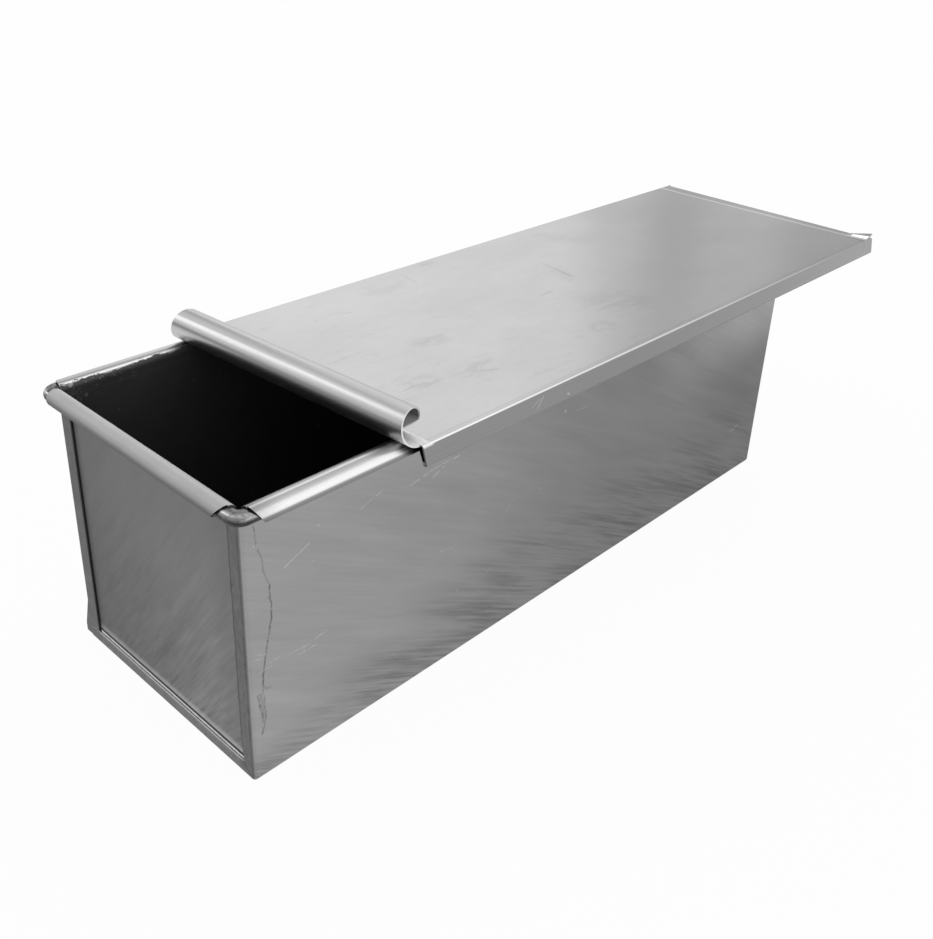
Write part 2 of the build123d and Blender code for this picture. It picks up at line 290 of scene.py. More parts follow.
# Lid's flanges and their folds, with painted shade just inside the upper fold, a painted highlight on
# it and a painted shadow along the lower fold
FLANGE_TONES = [(-60.0, 0.265), (15.0, 0.244), (90.0, 0.263), (150.0, 0.279), (205.0, 0.308)]
FLANGE_RUB = ((50.0, 20.0, 1.8), 4.0, 0.65)
FLANGE_RUB_TONE = (0.96, 1.04)
FLANGE_SCRATCH_TONE = 0.2
FLANGE_TO_TOP = (0.3, 0.9)
INNER_LINE_BAND = (1.6, 2.3, 0.3)
INNER_LINE_FACING_UP = (0.9, 0.99)
INNER_LINE_SHADE = 0.14
FOLD_UPWARD_BAND = (0.34, 0.93, 0.08)
FOLD_SIDEWAYS = (0.2, 0.3)
FOLD_Z = (LID_TOP - 2.0, LID_TOP - 1.6)
FOLD_HIGHLIGHT_X = (-60.0, 190.0, 0.82, 0.34)
LOWER_FOLD_DOWNWARD = (-0.06, -0.3)
LOWER_FOLD_X = (20.0, 90.0, 0.3, 1.0)
LOWER_FOLD_Z = (98.0, 97.6)
LOWER_FOLD_SHADOW = 0.06
UNDERSIDE_DOWNWARD = (-0.75, -0.95)
UNDERSIDE_TONE = 0.26

# Lid's rolled grip with painted highlight and shade, its hollow inside with painted shade, its cut
# edges and the sheet at its foot with painted light
GRIP_PAINTED_LIGHT = [
    (-1.0, 0.55), (0.1, 0.55), (0.2, 0.40), (0.27, 0.27), (0.317, 0.24), (0.367, 0.29), (0.417, 0.37),
    (0.467, 0.44), (0.6, 0.46), (0.8, 0.45), (0.87, 0.44), (0.93, 0.43), (0.97, 0.38), (0.99, 0.345),
]
GRIP_LINES = ((0.5, 70.0, 0.5), 3.0, 0.7)
GRIP_LINE_TONE = (0.85, 1.12)
GRIP_BACKWARD_SHADE = (0.0, 0.15, 1.0, 0.86)
GRIP_FRONT_X = (-94.0, -95.0)
GRIP_LOW_Z = (LID_TOP + 0.5, LID_TOP + 1.0)
GRIP_END_X = (-80.0, -84.0)
GRIP_ROUGH = 0.31
HOLLOW_RADIUS = (5.75, 5.65)
HOLLOW_SHADE_Z = (107.0, 110.5, 0.95, 0.16)
GRIP_FOOT_FRONT = (-90.5, -91.2)
GRIP_FOOT_FACING_UP = (0.7, 0.9)
GRIP_FOOT_Z = (LID_TOP + 1.2, LID_TOP + 0.8)
GRIP_FOOT_Y = (-38.0, -46.0)
GRIP_FOOT_PAINTED_LIGHT = 0.95
CUT_SIDEWAYS = (0.8, 0.95)
CUT_X = (-85.0, -87.0)
CUT_Z = (103.0, 103.9)
CUT_TONE = 0.8

# Studio, with lamps as (name, azimuth, elevation, width, height, brightness) in degrees
LAMPS = [
    ("back_box", 47.3, 32.0, 22.2, 48.0, 0.80),
    ("back_shoulder", 34.6, 32.0, 3.2, 48.0, 0.36),
    ("back_strip", 28.2, 28.0, 4.4, 40.0, 0.28),
    ("left_box", 114.4, 34.5, 15.0, 32.0, 1.6),
    ("front_box", -52.0, 30.0, 34.0, 24.0, 0.3),
]
LAMP_DISTANCE_M = 3.0
FLOOR_HALF_M = 20.0
FLOOR_GREY = (0.9, 0.9, 0.9, 1)
FLOOR_WHITE_SHARE = 0.96
WHITE = (1, 1, 1, 1)
WHITE_STRENGTH = 1.0
SOFT_STRENGTH = 0.7

# Marks, as (pixels of the photograph along the stroke, width, softness, strength)
# The crease and the scratches lie on the near long wall; the crease is darkened with painted shade.
CREASE = [
    ([(253.1, 526.9), (255.3, 539.4), (255.9, 546.3)], 0.2, 0.4, 0.6),
    ([(255.9, 546.3), (260, 555), (261.9, 562.8), (262.8, 570.6), (265.6, 576.9), (269.7, 584.7)],
     0.15, 0.45, 0.4),
    ([(269.7, 584.7), (270, 597.2), (271.3, 605), (271.6, 617.5), (269.7, 630)], 0.25, 0.4, 0.9),
    ([(269.7, 630), (267.2, 642.5), (265.6, 655), (263.8, 670.6), (262.8, 684.7)], 0.25, 0.4, 0.9),
    ([(268.2, 598.2), (270.6, 596.2)], 0.2, 0.3, 0.9),
    ([(262.8, 684.7), (263.1, 694), (257.8, 695.6)], 0.2, 0.35, 0.7),
    ([(262.8, 686), (266.5, 688.4), (271.3, 686.5)], 0.2, 0.5, 0.4),
    ([(257.5, 696.8), (260.9, 709.7), (264, 720.6)], 0.25, 0.4, 0.85),
    ([(260.8, 698), (262.4, 708), (264, 720.6)], 1.2, 0.6, 0.35),
    ([(264.7, 695.6), (265, 708), (266.3, 716)], 0.2, 0.35, 0.6),
    ([(266.3, 716), (264, 726.9), (262.5, 733.8)], 0.25, 0.4, 0.75),
]
SCRATCHES = [
    ([(284.4, 567.5), (309.4, 543.1)], 0.18, 0.25, 1.0),
    ([(360.9, 508.8), (382.8, 490)], 0.15, 0.25, 0.8),
    ([(410.9, 485.3), (432.8, 469.7), (443.8, 463.4), (459.4, 455.6)], 0.18, 0.3, 1.0),
    ([(417, 481), (428, 473)], 0.15, 0.25, 0.7),
    ([(432.8, 477.5), (443.8, 466.5)], 0.15, 0.3, 0.9),
    ([(500, 524), (514, 498)], 0.15, 0.3, 0.4),
    ([(440.6, 551.9), (457.8, 544.7)], 0.15, 0.25, 0.7),
    ([(486, 572.8), (492, 566.6)], 0.15, 0.25, 0.6),
    ([(730.6, 431), (736.9, 425)], 0.2, 0.3, 1.0),
    ([(289, 654), (304.7, 646)], 0.15, 0.25, 0.8),
    ([(298, 655), (315.6, 644.7)], 0.15, 0.25, 0.7),
    ([(303, 649), (312, 641)], 0.15, 0.25, 0.6),
    ([(315.6, 638.4), (326.6, 630)], 0.15, 0.25, 0.8),
    ([(256, 655.6), (265.6, 654)], 0.15, 0.25, 0.7),
    ([(256, 660), (262.5, 658.8)], 0.15, 0.25, 0.7),
    ([(259, 673), (272, 666)], 0.12, 0.25, 0.8),
    ([(268, 664), (282, 655)], 0.12, 0.25, 0.6),
    ([(317.8, 525), (318.6, 525)], 0.3, 0.3, 0.9),
    ([(313, 561), (313.8, 561)], 0.2, 0.3, 0.7),
    ([(254.2, 546.2), (255.4, 546.6)], 0.6, 0.4, 1.2),
    ([(565, 411.3), (565.8, 411.3)], 0.5, 0.5, 1.0),
    ([(577, 410), (586, 407)], 0.15, 0.3, 0.6),
    ([(540, 488), (541, 488)], 0.3, 0.4, 0.6),
    ([(457, 590), (457.8, 590)], 0.3, 0.4, 0.8),
]
FLANGE_SCRATCHES = [
    ([(537.5, 408.8), (543.8, 396)], 0.15, 0.3, 0.7),
    ([(532, 408), (540, 399)], 0.12, 0.25, 0.5),
    ([(615.6, 376), (628, 371.9)], 0.3, 0.4, 0.9),
    ([(600, 383.8), (612.5, 378.4)], 0.2, 0.3, 0.7),
    ([(568, 393.8), (569, 393.8)], 0.4, 0.4, 0.8),
]
LID_SMUDGES = [
    ([(412, 381), (426, 380)], 4.0, 6.0, 0.55),
    ([(419, 343), (438, 339)], 2.5, 5.0, 0.45),
    ([(466, 372), (484, 363)], 3.0, 7.0, 0.40),
    ([(604, 302), (628, 300)], 8.0, 12.0, 0.45),
    ([(598, 327), (608, 325)], 2.5, 5.0, 0.45),
    ([(545, 237), (575, 240)], 3.0, 9.0, 0.35),
    ([(376, 292), (396, 283)], 3.0, 8.0, 0.35),
    ([(560, 272), (574, 280)], 2.0, 5.0, 0.40),
    ([(425, 264), (431, 263)], 1.5, 4.0, 0.45),
]
# Wrinkles on the lid, darkened with painted shade
LID_WRINKLES = [
    ([(544, 264), (571, 275.8)], 0.3, 0.8, 0.8),
    ([(542, 295), (552, 291)], 0.3, 0.7, 0.8),
    ([(342, 314), (352, 312)], 0.2, 0.6, 0.6),
    ([(416, 282), (404, 276)], 0.2, 0.6, 0.6),
    ([(404, 391), (414, 386)], 0.2, 0.5, 0.6),
    ([(480, 371), (497, 369)], 0.2, 0.6, 0.6),
    ([(322, 370), (330, 368)], 0.2, 0.5, 0.4),
]
ACROSS_Y = 1
ACROSS_Z = 2
SHORTEST_STROKE = 0.001


def photo_rotation():
    """Rotation from the pan's frame to the photograph's (x right, y down, z forward)."""
    return Matrix.Rotation(TURN.length, 3, TURN.normalized())


def camera_centre():
    """Where the photograph was taken from, in millimetres."""
    return -(photo_rotation().transposed() @ SHIFT_MM)


def make_camera():
    """Camera with the photograph's place, lens and framing."""
    data = bpy.data.cameras.new("photo_camera")
    camera = bpy.data.objects.new("photo_camera", data)
    bpy.context.scene.collection.objects.link(camera)
    flip = Matrix(((1, 0, 0), (0, -1, 0), (0, 0, -1)))
    turn = photo_rotation().transposed() @ flip
    place = Matrix.Translation(camera_centre() * MM)
    camera.matrix_world = place @ turn.to_4x4()
    longest = max(PHOTO_WIDTH, PHOTO_HEIGHT)
    data.sensor_width = SENSOR_MM
    data.lens = SENSOR_MM * FOCAL_PX / longest
    data.shift_x = (PHOTO_WIDTH / 2 - CENTRE_PX[0]) / longest
    data.shift_y = (CENTRE_PX[1] - PHOTO_HEIGHT / 2) / longest
    data.clip_start = NEAREST_M
    data.clip_end = FARTHEST_M
    bpy.context.scene.camera = camera


def on_plane(pixel, axis, value):
    """Point in millimetres where a pixel of the photograph meets a plane across an axis."""
    across = (pixel[0] - CENTRE_PX[0]) / FOCAL_PX
    down = (pixel[1] - CENTRE_PX[1]) / FOCAL_PX
    ray = photo_rotation().transposed() @ Vector((across, down, 1))
    start = camera_centre()
    return start + ray * ((value - start[axis]) / ray[axis])


class Graph:
    """Short way to write a shader's nodes."""

    def __init__(self, tree):
        self.tree = tree

    def put(self, value, socket):
        if isinstance(value, bpy.types.NodeSocket):
            self.tree.links.new(value, socket)
        elif value is not None:
            socket.default_value = value

    def node(self, kind, inputs=None, **settings):
        made = self.tree.nodes.new(kind)
        for name, value in settings.items():
            setattr(made, name, value)
        for name, value in (inputs or {}).items():
            self.put(value, made.inputs[name])
        return made

    def math(self, operation, a, b=None):
        return self.node("ShaderNodeMath", {0: a, 1: b}, operation=operation).outputs[0]

    def vector(self, operation, a, b=None, scale=None):
        inputs = {0: a, 1: b}
        if scale is not None:
            inputs["Scale"] = scale
        made = self.node("ShaderNodeVectorMath", inputs, operation=operation)
        return made.outputs["Value" if operation in ("LENGTH", "DOT_PRODUCT") else "Vector"]

    def add(self, a, b):
        return self.math("ADD", a, b)

    def sub(self, a, b):
        return self.math("SUBTRACT", a, b)

    def mul(self, a, b):
        return self.math("MULTIPLY", a, b)

    def product(self, *factors):
        total = factors[0]
        for factor in factors[1:]:
            total = self.mul(total, factor)
        return total

    def either(self, a, b):
        return self.math("MAXIMUM", a, b)

    def least(self, a, b):
        return self.math("MINIMUM", a, b)

    def flip(self, a):
        return self.sub(1.0, a)

    def absolute(self, a):
        return self.math("ABSOLUTE", a)

    def sign(self, a):
        return self.math("SIGN", a)

    def lift(self, value, mask, amount):
        """The value with an amount added where the mask is 1."""
        return self.add(value, self.mul(mask, amount))

    def dim(self, value, mask, share):
        """The value with a share taken off where the mask is 1."""
        return self.mul(value, self.flip(self.mul(mask, share)))

    def ramp(self, value, low, high, start=0.0, end=1.0):
        """Smooth step from start at low to end at high."""
        inputs = {"Value": value, "From Min": low, "From Max": high, "To Min": start, "To Max": end}
        made = self.node("ShaderNodeMapRange", inputs, interpolation_type="SMOOTHSTEP")
        return made.outputs[0]

    def line(self, value, low, high, start=0.0, end=1.0):
        """Straight blend from start at low to end at high, held outside."""
        inputs = {"Value": value, "From Min": low, "From Max": high, "To Min": start, "To Max": end}
        return self.node("ShaderNodeMapRange", inputs).outputs[0]

    def spread(self, noise, start, end):
        """Straight blend from start to end over most of a noise's range."""
        return self.line(noise, *NOISE_SPAN, start, end)

    def curve(self, value, points):
        """Straight pieces through (value, result) points, held outside them."""
        total = points[0][1]
        for (low, start), (high, end) in zip(points, points[1:]):
            total = self.add(total, self.line(value, low, high, 0.0, end - start))
        return total

    def joined(self, x, y, z):
        return self.node("ShaderNodeCombineXYZ", {0: x, 1: y, 2: z}).outputs[0]

    def size_of(self, a, b, c=0.0):
        """Length of the vector with these three parts."""
        return self.vector("LENGTH", self.joined(a, b, c))

    def band(self, value, low, high, soft):
        """1 between low and high, with soft edges."""
        rise = self.ramp(value, low - soft, low + soft)
        fall = self.ramp(value, high - soft, high + soft, 1.0, 0.0)
        return self.mul(rise, fall)

    def blend(self, share, a, b):
        """Number a where share is 0 and b where it is 1."""
        made = self.node("ShaderNodeMix", data_type="FLOAT")
        self.put(share, made.inputs[0])
        self.put(a, made.inputs[2])
        self.put(b, made.inputs[3])
        return made.outputs[0]

    def noise(self, place, size, detail, roughness):
        """Noise around its middle whose features have this size, one number or three."""
        sizes = size if isinstance(size, tuple) else (size, size, size)
        shares = tuple(1 / s for s in sizes)
        scaled = self.vector("MULTIPLY", place, shares)
        inputs = {"Vector": scaled, "Scale": 1.0, "Detail": detail, "Roughness": roughness}
        return self.node("ShaderNodeTexNoise", inputs).outputs[0]

    def turned(self, place, axis, degrees):
        """The place turned about an axis through the origin, so that streaks can slant."""
        inputs = {"Vector": place, "Angle": math.radians(degrees)}
        made = self.node("ShaderNodeVectorRotate", inputs, rotation_type=axis + "_AXIS")
        return made.outputs[0]

    def grey(self, value):
        made = self.node("ShaderNodeCombineColor", {0: value, 1: value, 2: value})
        return made.outputs[0]

    def mark(self, place, start, end, width, soft):
        """1 on a stroke between two points, fading over its soft rim."""
        along = end - start
        length = max(along.length, SHORTEST_STROKE)
        direction = tuple(along / length)
        offset = self.vector("SUBTRACT", place, tuple(start))
        reach = self.vector("DOT_PRODUCT", offset, direction)
        held = self.least(self.either(reach, 0.0), length)
        foot = self.vector("SCALE", direction, scale=held)
        gap = self.vector("LENGTH", self.vector("SUBTRACT", offset, foot))
        return self.ramp(gap, width / 2, width / 2 + soft, 1.0, 0.0)

    def strokes(self, place, marks, axis, value):
        """All strokes of a list of marks, laid on a plane across an axis."""
        total = None
        for pixels, width, soft, strength in marks:
            points = [on_plane(pixel, axis, value) for pixel in pixels]
            for start, end in zip(points, points[1:]):
                made = self.mul(self.mark(place, start, end, width, soft), strength)
                total = made if total is None else self.either(total, made)
        return total


class Metal:
    """A metal material under construction: graph, shader, place and normal."""

    def __init__(self, name):
        self.material = bpy.data.materials.new(name)
        self.material.use_nodes = True
        tree = self.material.node_tree
        tree.nodes.clear()
        self.g = Graph(tree)
        self.shader = self.g.node("ShaderNodeBsdfPrincipled")
        output = self.g.node("ShaderNodeOutputMaterial")
        tree.links.new(self.shader.outputs[0], output.inputs[0])
        coordinates = self.g.node("ShaderNodeTexCoord")
        self.place = self.g.vector("SCALE", coordinates.outputs["Object"], scale=PER_METRE)
        self.x, self.y, self.z = self.parts(self.place)
        geometry = self.g.node("ShaderNodeNewGeometry")
        self.nx, self.ny, self.nz = self.parts(geometry.outputs["Normal"])

    def parts(self, vector):
        split = self.g.node("ShaderNodeSeparateXYZ", {0: vector})
        return split.outputs[0], split.outputs[1], split.outputs[2]

    def coated(self, coat, tone, rough):
        """Tone and roughness with the black coating laid on where coat is 1."""
        g = self.g
        speck = g.ramp(g.noise(self.place, *SPECKS), *SPECK_SPAN)
        dust = g.line(g.noise(self.place, *DUST), *DUST_TONE)
        black = g.lift(g.add(COAT_TONE, dust), speck, SPECK_TONE)
        return g.blend(coat, tone, black), g.blend(coat, rough, COAT_ROUGH)

    def finish(self, tone, rough, height, matt=None, specular=METAL_SPECULAR):
        """Joins tone, roughness and bumps to the shader, bare metal except where matt is 1."""
        g = self.g
        g.put(1.0 if matt is None else g.flip(matt), self.shader.inputs["Metallic"])
        self.shader.inputs["Specular IOR Level"].default_value = specular
        g.put(g.grey(tone), self.shader.inputs["Base Color"])
        g.put(rough, self.shader.inputs["Roughness"])
        inputs = {"Height": height, "Distance": BUMP_DISTANCE_M, "Strength": BUMP_STRENGTH}
        bump = g.node("ShaderNodeBump", inputs)
        g.put(bump.outputs[0], self.shader.inputs["Normal"])
        return self.material

    def grained(self, tone, rough):
        """Tone and roughness with the sheet's fine grain."""
        g = self.g
        grain = g.noise(self.place, *GRAIN)
        return g.mul(tone, g.line(grain, *GRAIN_TONE)), g.add(rough, g.line(grain, *GRAIN_ROUGH))


def wall_tone(m, streak, patch):
    """Long walls, with painted light along their length and lighter high at the far end, painted
    shade at the near corner and low down, darker still in the rubbed streaks.
    """
    g = m.g
    # Painted light: lighter high up towards the far end
    high_and_far = g.mul(g.ramp(m.z, *PAINTED_LIFT_Z), g.ramp(m.x, *PAINTED_LIFT_X))
    wall = g.lift(g.curve(m.x, WALL_PAINTED_LIGHT_TONES), high_and_far, PAINTED_LIFT_TONE)
    # Painted shade low down, darker in the rubbed streaks
    low = g.ramp(m.z, g.line(m.x, *LOW_SHADE_REACH), 0.0)
    rubbed = g.mul(g.ramp(streak, *RUBBED_STREAK), g.ramp(patch, *RUBBED_PATCH))
    wall = g.dim(wall, low, g.add(g.mul(rubbed, RUBBED_SHARE), LOW_SHADE_LEAST))
    wall = g.mul(wall, g.spread(streak, *WALL_STREAK_TONE))
    wall = g.mul(wall, g.spread(patch, *WALL_PATCH_TONE))
    # Painted shade at the near corner
    return g.mul(wall, g.line(m.x, *WALL_CORNER_SHADE_X))


def side_bead_tone(m):
    """Beads along the walls, rubbed lengthwise, with a painted highlight where they turn outward and
    painted shade at their foot and near the corner.
    """
    g = m.g
    outward = g.mul(m.ny, g.sign(m.y))
    # Painted highlight and shade by the normal, painted shade at the foot and near the corner
    near_bead = g.mul(g.curve(outward, SIDE_BEAD_PAINTED_LIGHT), g.curve(m.z, SIDE_BEAD_FOOT_SHADE))
    near_bead = g.mul(near_bead, g.line(m.x, *SIDE_BEAD_CORNER_SHADE_X))
    far_bead = g.curve(outward, FAR_BEAD_PAINTED_LIGHT)
    bead = g.blend(g.ramp(m.y, *FAR_SIDE_Y), near_bead, far_bead)
    return g.mul(bead, g.spread(g.noise(m.place, *SIDE_BEAD_LINES), *SIDE_BEAD_LINE_TONE))


def strip_tone(m, far_y):
    """Strips folded over the ends, stained and mottled, their dark tone painted shade, with a painted
    highlight along the bottom one's top.
    """
    g = m.g
    spots = g.noise(m.place, *STRIP_SPOTS)
    # Dark tone of the end-facing strips is painted shade, mottled with spots
    strip = g.spread(spots, *STRIP_SPOT_AND_SHADE_TONE)
    strip = g.mul(strip, g.line(g.mul(m.y, g.sign(m.x)), *STRIP_ACROSS_Y))
    strip = g.mul(strip, g.ramp(far_y, *STRIP_LEFT_Y))
    blots = g.ramp(g.noise(m.place, *STRIP_BLOTS), *STRIP_BLOT_SPAN)
    strip = g.dim(strip, blots, STRIP_BLOT_SHARE)
    # Painted highlight along the bottom strip's top edge
    top_highlight = g.mul(g.curve(m.z, STRIP_PAINTED_HIGHLIGHT), g.ramp(far_y, *STRIP_HIGHLIGHT_Y))
    return g.add(strip, g.mul(top_highlight, g.line(spots, *STRIP_HIGHLIGHT_SPOTS)))


def trough_coat(m, far_x, far_y):
    """1 where the trough is coated: inside its folds and over half the beads, with flakes."""
    g = m.g
    ragged = g.spread(g.noise(m.place, *TROUGH_RAGGED), *TROUGH_RAGGED_MM)
    over = g.ramp(g.add(g.sub(COAT_TOP_Y, far_y), ragged), *COAT_SOFT)
    from_x = g.either(g.sub(far_x, PAN_END - FOLD_OUTER), 0.0)
    from_y = g.either(g.sub(far_y, WALL_Y - FOLD_OUTER), 0.0)
    from_z = g.either(g.sub(FOLD_OUTER, m.z), 0.0)
    depth = g.size_of(from_x, from_y, from_z)
    low_part = g.mul(g.ramp(depth, *TROUGH_COAT_DEPTH), g.ramp(m.z, *TROUGH_COAT_LOW_Z))
    high_part = g.mul(over, g.ramp(m.z, *TROUGH_COAT_HIGH_Z))
    corner = g.mul(g.ramp(m.x, *FLAKE_CORNER_X), g.ramp(m.y, *FLAKE_CORNER_Y))
    flakes = g.lift(g.noise(m.place, *FLAKES), corner, FLAKE_CORNER_SHARE)
    worn = g.mul(g.ramp(m.z, *FLAKE_Z), g.ramp(m.x, *FLAKE_X))
    return g.dim(g.either(low_part, high_part), g.ramp(flakes, *FLAKE_SPAN), worn)


def trough_steel():
    """Folded sheet: tinned outside, black coated inside, with the near wall's marks."""
    m = Metal("trough_steel")
    g = m.g
    far_x = g.absolute(m.x)
    far_y = g.absolute(m.y)
    slanted = g.turned(m.place, "Y", WALL_SLANT_DEG)
    streak = g.noise(slanted, *WALL_STREAKS)
    patch = g.noise(slanted, *WALL_PATCHES)
    on_bead = g.mul(g.ramp(m.z, *SIDE_BEAD_Z), g.ramp(far_y, *SIDE_BEAD_Y))
    tone = g.blend(on_bead, wall_tone(m, streak, patch), side_bead_tone(m))
    tone = g.blend(g.ramp(g.absolute(m.nx), *FACING_END), tone, strip_tone(m, far_y))
    # Painted highlight on upward ledges low down
    ledge = g.mul(g.ramp(m.nz, *LEDGE_FACING_UP), g.ramp(m.z, *LEDGE_Z))
    tone = g.blend(ledge, tone, LEDGE_HIGHLIGHT_TONE)

    # Marks of the near wall
    near = g.ramp(m.ny, *FACING_NEAR)
    wobble = g.sub(g.noise(m.place, *MARK_WOBBLE), NOISE_MIDDLE)
    wavering = g.vector("ADD", m.place, g.joined(wobble, 0.0, 0.0))
    crease = g.mul(g.strokes(wavering, CREASE, ACROSS_Y, -WALL_Y), near)
    crease = g.mul(crease, g.ramp(g.noise(m.place, *CREASE_BREAKS), *CREASE_BREAK_SPAN))
    scratch = g.mul(g.strokes(m.place, SCRATCHES, ACROSS_Y, -WALL_Y), near)
    broken = g.ramp(g.noise(m.place, *SCRATCH_BREAKS), *SCRATCH_BREAK_SPAN)
    # Painted shade in the crease
    tone = g.dim(tone, crease, CREASE_SHADE_SHARE)
    tone = g.lift(tone, g.mul(scratch, broken), SCRATCH_TONE)

    height = g.mul(g.noise(m.place, *TROUGH_WAVE), TROUGH_WAVE_HEIGHT)
    height = g.lift(height, streak, TROUGH_STREAK_HEIGHT)
    height = g.sub(height, g.mul(crease, CREASE_HEIGHT))
    rough = g.blend(on_bead, g.spread(patch, *WALL_ROUGH), SIDE_BEAD_ROUGH)
    coat = trough_coat(m, far_x, far_y)
    tone, rough = m.coated(coat, *m.grained(tone, rough))
    return m.finish(tone, rough, height, g.either(coat, ledge))


def panel_tone(m, side_y, slanted, streak):
    """Flat panel, dark with painted shade, shaded to the left and low down, with slanting rub marks
    and a painted highlight at its foot.
    """
    g = m.g
    # Dark base tone, darker to the left, is painted shade
    panel = g.mul(g.line(m.z, *PANEL_SHADE_TONE_Z), g.line(side_y, *PANEL_SHADE_TONE_Y))
    panel = g.dim(panel, g.mul(g.ramp(side_y, *SHADE_Y), g.ramp(m.z, *SHADE_Z)), SHADE_SHARE)
    panel = g.dim(panel, g.ramp(side_y, *LEFT_SHADE_Y), LEFT_SHADE_SHARE)
    panel = g.dim(panel, g.ramp(side_y, *RIGHT_SHADE_Y), RIGHT_SHADE_SHARE)
    mixed = g.blend(PANEL_MIX, streak, g.noise(slanted, *PANEL_PATCHES))
    marks = g.mul(g.line(m.z, *PANEL_MIX_Z), g.line(mixed, *PANEL_MIX_TONE))
    panel = g.mul(panel, g.add(1.0, marks))
    dashes = g.ramp(g.noise(slanted, *DASHES), *DASH_SPAN)
    panel = g.dim(panel, g.mul(dashes, g.ramp(m.z, *DASH_Z)), DASH_SHARE)
    # Painted highlight at the panel's foot
    return g.lift(panel, g.ramp(m.z, *PANEL_FOOT_HIGHLIGHT_Z), PANEL_FOOT_HIGHLIGHT)


def panel_seam_shade(m, side_y, uneven):
    """1 in the painted shade of the seams between the panel and the strips round it, and in part on a
    darker band beside the left one.
    """
    g = m.g
    left = g.ramp(side_y, *LEFT_SEAM_Y)
    beside_left = g.mul(g.ramp(side_y, *LEFT_SEAM_DARK_Y), LEFT_SEAM_DARK_SHARE)
    right = g.mul(g.ramp(g.lift(side_y, uneven, RIGHT_SEAM_UNEVEN), *RIGHT_SEAM_Y), RIGHT_SEAM_SHARE)
    bottom = g.band(m.z, SEAM_LOW, SEAM_HIGH, SEAM_SOFT)
    seam = g.either(g.either(left, right), g.either(bottom, beside_left))
    return g.mul(seam, g.ramp(m.z, *SEAM_TOP_Z))


def plate_steel(name, sign):
    """End plate: rubbed panel with painted shade, painted shade in the seams, bead on top with
    painted light and shade, black coating inside.
    """
    m = Metal(name)
    g = m.g
    side_y = g.mul(m.y, sign)
    far_x = g.absolute(m.x)
    slanted = g.turned(m.place, "X", -sign * PANEL_SLANT_DEG)
    streak = g.noise(slanted, *PANEL_STREAKS)
    panel = panel_tone(m, side_y, slanted, streak)

    # Painted shade in the seams against the strips, with a painted highlight over the bottom one
    uneven = g.spread(g.noise(m.place, *SEAM_NOISE), *SEAM_UNEVEN_MM)
    seam = panel_seam_shade(m, side_y, uneven)
    panel = g.dim(panel, seam, SEAM_SHADE_SHARE)
    seam_highlight = g.mul(g.ramp(m.z, *SEAM_HIGHLIGHT_Z), g.ramp(side_y, *SEAM_HIGHLIGHT_Y))
    panel = g.blend(seam_highlight, panel, g.line(uneven, *SEAM_UNEVEN_MM, *SEAM_HIGHLIGHT_TONE))

    # Painted light and shade by the normal, lighter where the bead faces outward
    bead = g.curve(m.nz, END_BEAD_PAINTED_LIGHT)
    bead = g.mul(bead, g.spread(g.noise(m.place, *END_BEAD_BLOTCHES), *END_BEAD_BLOTCH_TONE))
    bead = g.mul(bead, g.ramp(g.mul(m.nx, sign), *END_BEAD_OUTWARD_LIGHT))
    on_bead = g.mul(g.ramp(m.z, *END_BEAD_Z), g.ramp(far_x, *END_BEAD_X))
    tone = g.blend(on_bead, panel, bead)

    inward = g.sub(PLATE_INNER_X, far_x)
    ragged = g.spread(g.noise(m.place, *PLATE_RAGGED), *PLATE_RAGGED_MM)
    over = g.ramp(g.add(g.add(inward, PLATE_COAT_OVER), ragged), *COAT_SOFT)
    on_top = g.mul(over, g.ramp(m.z, *PLATE_COAT_Z))
    coat = g.either(g.ramp(inward, *PLATE_INNER_SOFT), on_top)

    height = g.mul(g.noise(m.place, *PLATE_WAVE), PLATE_WAVE_HEIGHT)
    height = g.lift(height, streak, PLATE_STREAK_HEIGHT)
    rough = g.blend(on_bead, PANEL_ROUGH, END_BEAD_ROUGH)
    tone, rough = m.coated(coat, *m.grained(tone, rough))
    return m.finish(tone, rough, height, g.either(coat, g.either(seam_highlight, seam)), PLATE_SPECULAR)


def wire_steel():
    """Bare wire, stained and pitted, with painted highlights and shade, and painted shade against the
    beads' ends at the corners.
    """
    m = Metal("wire_steel")
    g = m.g
    # Painted highlight on top and painted shade underneath, with painted glints
    tone = g.curve(m.nz, WIRE_PAINTED_LIGHT)
    sideways = g.absolute(m.ny)
    for across, upward, amount in WIRE_PAINTED_GLINTS:
        tone = g.lift(tone, g.mul(g.ramp(sideways, *across), g.band(m.nz, *upward)), amount)
    stain = g.noise(m.place, *WIRE_STAINS)
    tone = g.mul(tone, g.line(stain, *WIRE_STAIN_TONE))
    blotch = g.ramp(g.noise(m.place, *WIRE_BLOTCHES), *WIRE_BLOTCH_TONE)
    tone = g.mul(tone, g.blend(g.ramp(m.y, *WIRE_BLOTCH_Y), 1.0, blotch))

    # Shade where the wire runs in under the beads
    far_x = g.absolute(m.x)
    far_y = g.absolute(m.y)
    end_gap = g.sub(far_y, g.curve(m.z, WIRE_END_Y))
    side_gap = g.sub(far_x, g.curve(m.z, WIRE_SIDE_X))
    under_end = g.mul(g.ramp(end_gap, *WIRE_END_GAP), g.ramp(far_x, *WIRE_END_X))
    under_side = g.mul(g.ramp(side_gap, *WIRE_SIDE_GAP), g.ramp(far_y, *WIRE_SIDE_Y))
    tone = g.dim(tone, g.either(under_end, under_side), WIRE_SHADE_SHARE)

    height = g.mul(g.noise(m.place, *WIRE_PITS), WIRE_PIT_HEIGHT)
    height = g.lift(height, stain, WIRE_STAIN_HEIGHT)
    return m.finish(*m.grained(tone, g.spread(stain, *WIRE_ROUGH)), height)


